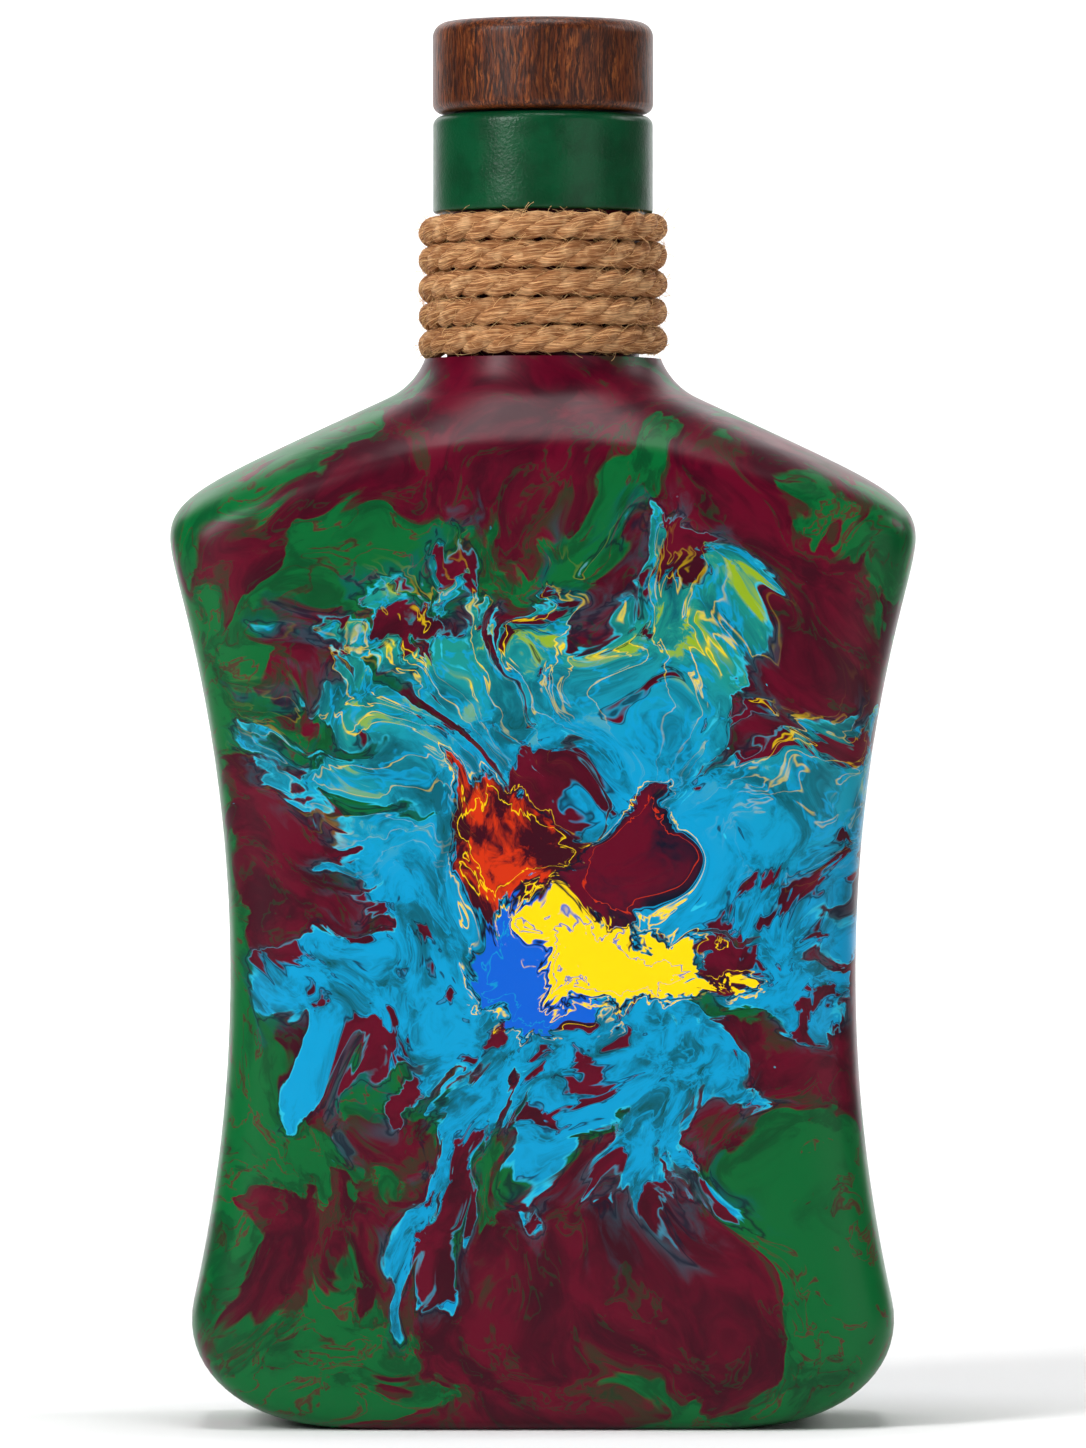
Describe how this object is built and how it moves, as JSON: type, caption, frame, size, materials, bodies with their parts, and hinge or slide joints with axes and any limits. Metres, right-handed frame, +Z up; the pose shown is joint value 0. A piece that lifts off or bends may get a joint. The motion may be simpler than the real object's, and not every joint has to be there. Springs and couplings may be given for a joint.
{
  "type": "decorated spirit bottle with stopper",
  "caption": "Waisted flat glass bottle with a poured-paint coat, a rope-wound neck, a green collar and a wood-headed push-in stopper.",
  "frame": {"origin": "middle of the base, on the surface that the bottle stands on", "axes": "+Z up along the neck, +X across the broad front, and the front faces -Y"},
  "size_m": [0.1268, 0.056, 0.24],
  "materials": {
    "glass_paint": "satin poured-paint coat over clear glass",
    "collar_paint": "satin dark green paint",
    "jute_rope": "rough tan jute, three strands",
    "black_seal": "matt black rubber",
    "dark_wood": "dark red-brown turned wood, satin varnish",
    "black_insert": "black moulded plastic",
    "shank_cork": "cork-coloured moulded sleeve"
  },
  "bodies": {
    "bottle": {"glass_bottle": "glass_paint", "neck_collar": "collar_paint", "rope_winding": "jute_rope"},
    "seal": {"seal_washer": "black_seal"},
    "stopper": {"stopper_head": "dark_wood", "stopper_insert": "black_insert", "shank_sleeve": "shank_cork"}
  },
  "joints": [
    {"name": "stopper_pull", "type": "slide", "parent": "bottle", "child": "seal", "axis": [0, 0, 1], "range_m": [0, 0.06]},
    {"name": "stopper_twist", "type": "hinge", "parent": "seal", "child": "stopper", "pos_m": [0, 0, 0.2245], "axis": [0, 0, 1], "continuous": true}
  ]
}
